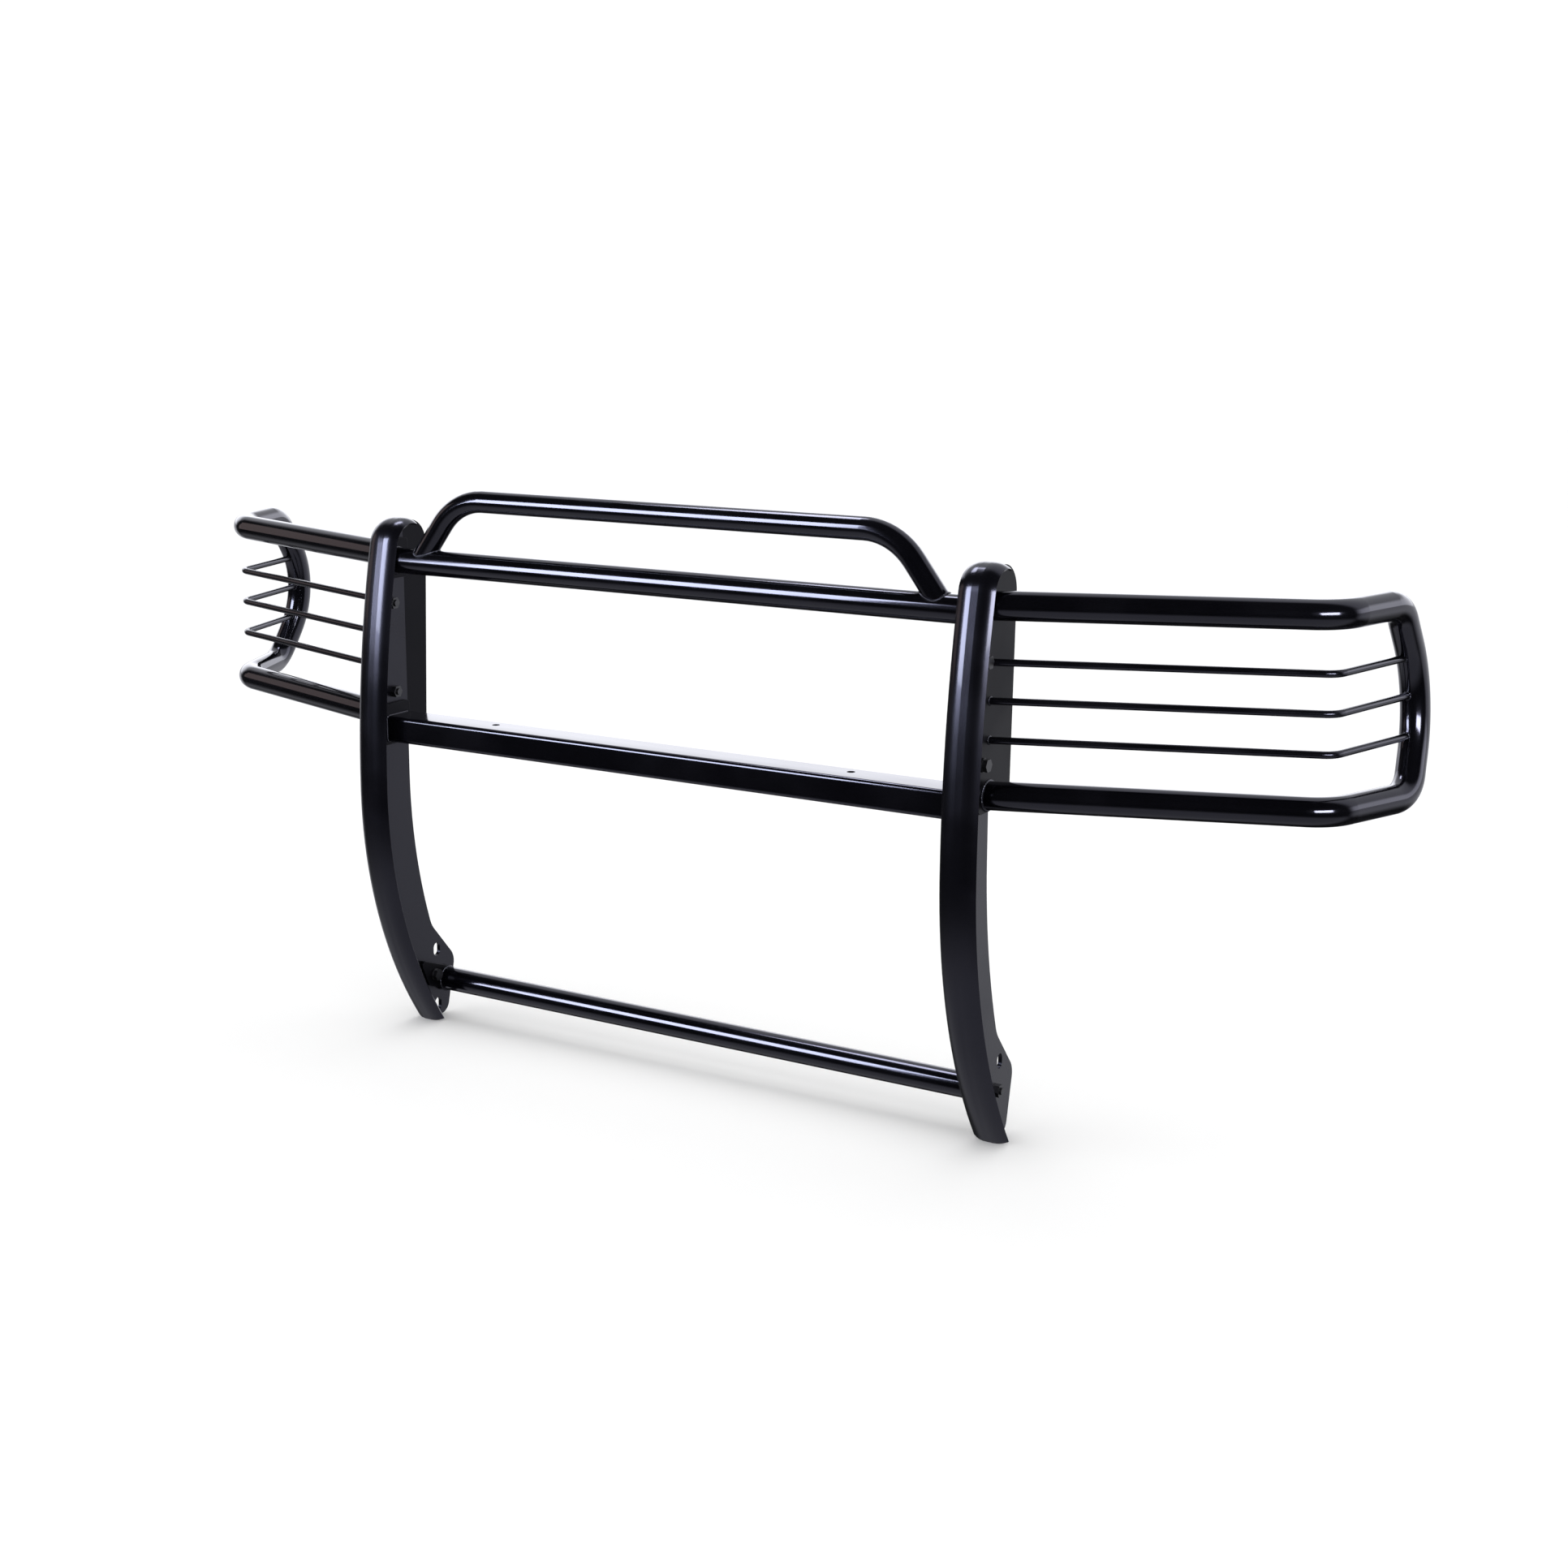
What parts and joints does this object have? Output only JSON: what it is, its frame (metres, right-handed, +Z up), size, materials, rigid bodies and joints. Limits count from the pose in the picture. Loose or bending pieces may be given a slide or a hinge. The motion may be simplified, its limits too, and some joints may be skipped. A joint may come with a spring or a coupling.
{
  "type": "front grille guard",
  "caption": "Steel grille guard for a pickup: bowed uprights with bolt-on feet, crossbars, a lamp rail, a top hoop and headlamp wings with thin rods.",
  "frame": {"origin": "on the ground below the guard, on its centre plane, midway between its front and back", "axes": "+Z up, -Y towards the front of the vehicle, +X towards the guard's right side as seen from in front of it"},
  "size_m": [1.9506, 0.3856, 0.8379],
  "materials": {
    "powder_coat": "gloss black powder coat on steel",
    "fastener": "black zinc plated steel"
  },
  "bodies": {
    "root": {"left_face_strip": "powder_coat", "left_riser_plate": "powder_coat", "left_top_tab": "powder_coat", "left_rail_tab": "powder_coat", "left_foot_tab": "powder_coat", "left_wing_plate": "powder_coat", "left_wing_tube": "powder_coat", "left_upper_rod": "powder_coat", "left_middle_rod": "powder_coat", "left_lower_rod": "powder_coat", "right_face_strip": "powder_coat", "right_riser_plate": "powder_coat", "right_top_tab": "powder_coat", "right_rail_tab": "powder_coat", "right_foot_tab": "powder_coat", "right_wing_plate": "powder_coat", "right_wing_tube": "powder_coat", "right_upper_rod": "powder_coat", "right_middle_rod": "powder_coat", "right_lower_rod": "powder_coat", "top_crossbar": "powder_coat", "bottom_crossbar": "powder_coat", "hoop": "powder_coat", "lower_crossbar": "powder_coat", "wing_bolts": "fastener", "wing_washers": "fastener", "wing_nuts": "fastener", "foot_bolts": "fastener", "foot_washers": "fastener", "foot_nuts": "fastener"}
  },
  "joints": []
}
